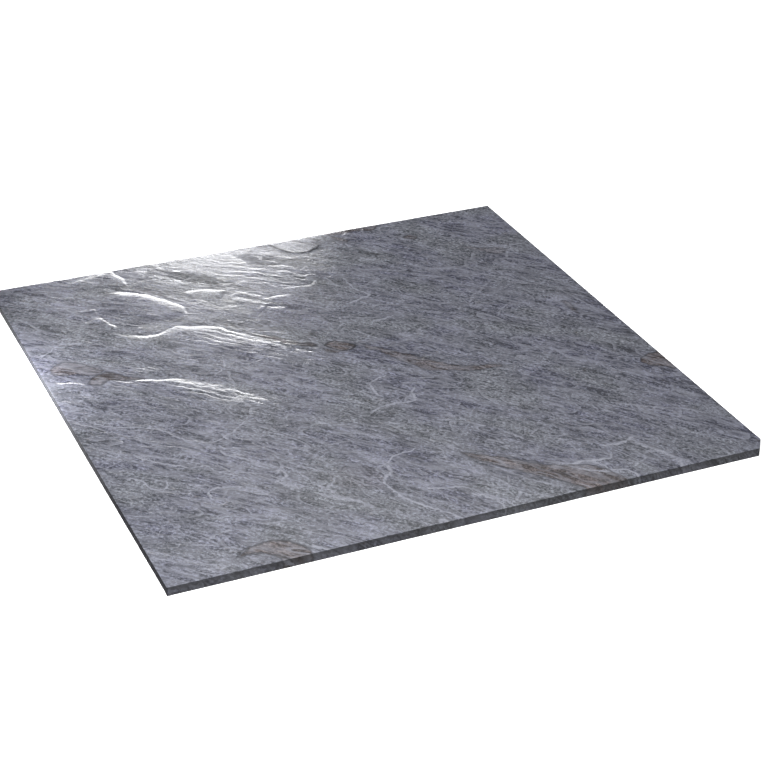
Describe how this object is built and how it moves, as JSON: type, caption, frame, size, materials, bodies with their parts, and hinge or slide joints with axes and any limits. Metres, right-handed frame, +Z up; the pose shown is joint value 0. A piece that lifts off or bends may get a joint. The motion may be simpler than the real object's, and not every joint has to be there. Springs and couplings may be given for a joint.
{
  "type": "riven stone slab",
  "caption": "Thin square slab of blue-grey riven stone with sawn edges, laid flat on a bench as a hard, heavy surface to work leather on.",
  "frame": {"origin": "centre of the flat underside, on the surface that the slab lies on", "axes": "+Z up out of the split working face; +X along the front edge towards the broken corner; +Y from the front edge to the back edge"},
  "size_m": [0.6, 0.6, 0.01],
  "materials": {
    "riven_stone": "blue-grey slate, split along its cleavage, with pale veins and a few brown inclusions; satin on the split face, darker on the sawn sides"
  },
  "bodies": {
    "root": {"stone_slab": "riven_stone"}
  },
  "joints": []
}
